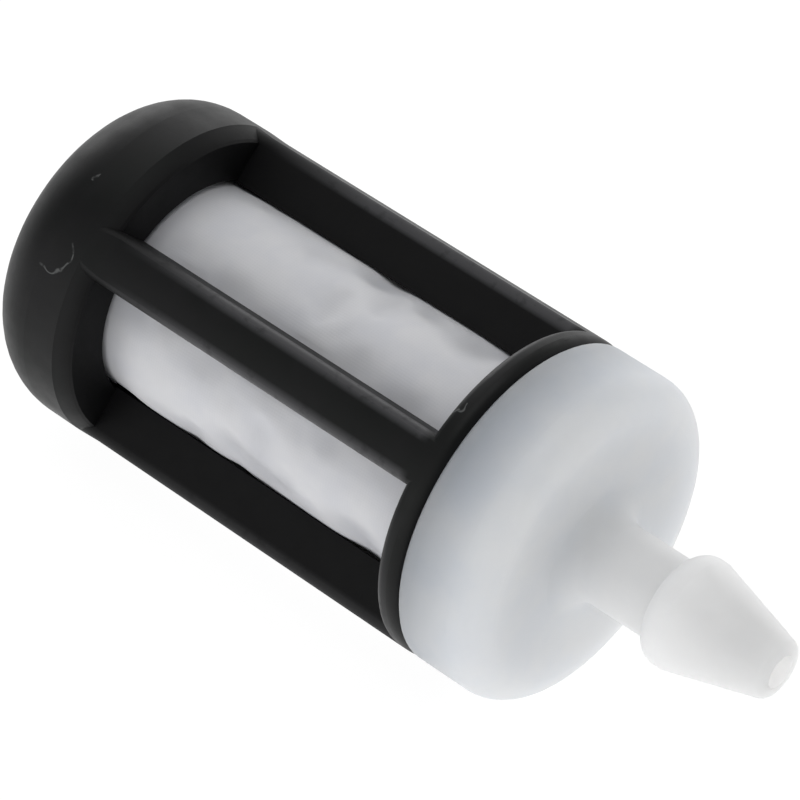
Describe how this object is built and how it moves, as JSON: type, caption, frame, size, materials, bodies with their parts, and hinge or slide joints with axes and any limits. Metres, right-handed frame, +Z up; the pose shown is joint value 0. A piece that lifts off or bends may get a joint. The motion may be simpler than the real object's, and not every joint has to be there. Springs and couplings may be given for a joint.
{
  "type": "fuel filter",
  "caption": "In-tank pickup fuel filter: a windowed black cage over a fabric sleeve, closed by a white connector with a hose barb.",
  "frame": {"origin": "on the filter's axis, in the middle of the hose barb's largest diameter", "axes": "+X along the axis from the domed end towards the barb's tip, +Z up with the filter lying on its side"},
  "size_m": [0.0426, 0.017, 0.017],
  "materials": {
    "cage_black": "satin moulded nylon, near black",
    "connector_white": "natural milky translucent polymer, soft satin",
    "core_natural": "natural moulded plastic",
    "felt": "needled felt",
    "sleeve_fabric": "fine white woven filter cloth"
  },
  "bodies": {
    "insert": {"hose_connector": "connector_white", "support_core": "core_natural", "felt_insert": "felt", "filter_sleeve": "sleeve_fabric", "sleeve_end_disc": "sleeve_fabric", "sleeve_clamp_ring": "core_natural"},
    "cage": {"cage": "cage_black"}
  },
  "joints": [
    {"name": "cage_pull", "type": "slide", "parent": "insert", "child": "cage", "axis": [-1, 0, 0], "range_m": [0, 0.0245]}
  ]
}
